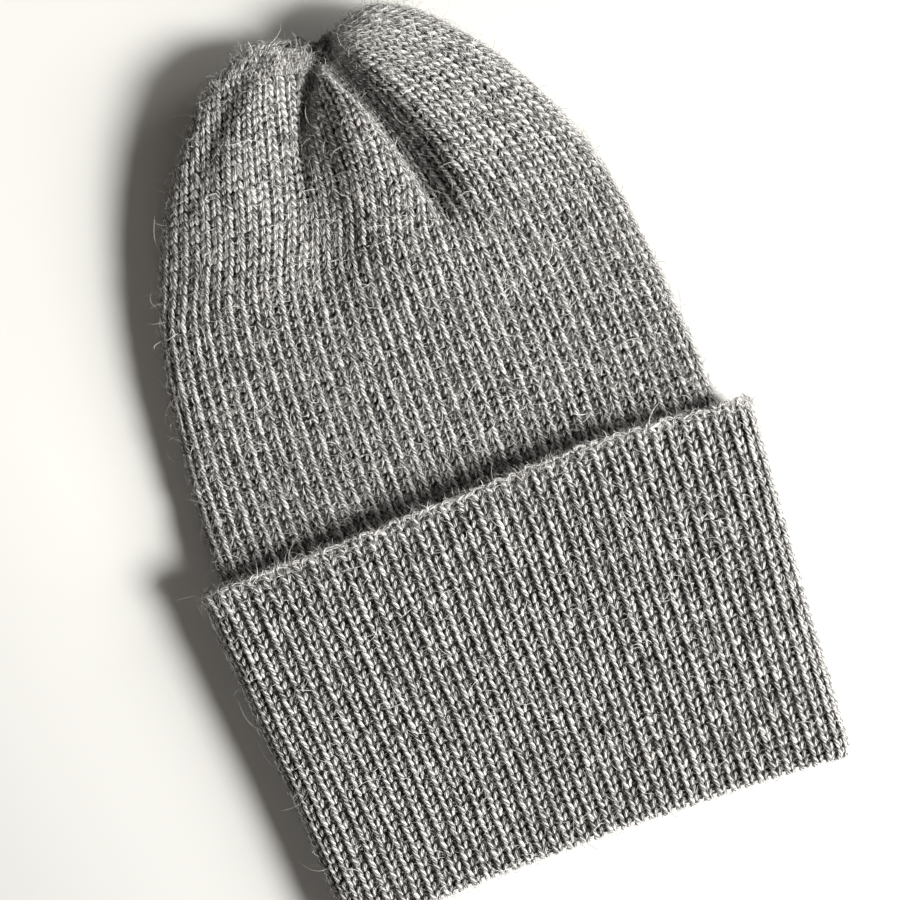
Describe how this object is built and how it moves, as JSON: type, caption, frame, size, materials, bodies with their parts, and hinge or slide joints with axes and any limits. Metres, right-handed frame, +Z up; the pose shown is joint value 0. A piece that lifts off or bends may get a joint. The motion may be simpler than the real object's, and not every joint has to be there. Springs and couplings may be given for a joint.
{
  "type": "cuffed beanie",
  "caption": "Rib-knit beanie with a deep turned-up cuff and a gathered crown, lying flat with its mouth open.",
  "frame": {"origin": "middle of the underside, on the surface that the hat lies on", "axes": "+Y from the opening to the gathered top, +X across the hat to the right of its front, +Z up through the front"},
  "size_m": [0.194, 0.2882, 0.0399],
  "materials": {
    "crown_knit": "grey melange wool knit",
    "cuff_knit": "grey melange wool knit"
  },
  "bodies": {
    "root": {"crown": "crown_knit", "cuff": "cuff_knit"}
  },
  "joints": []
}
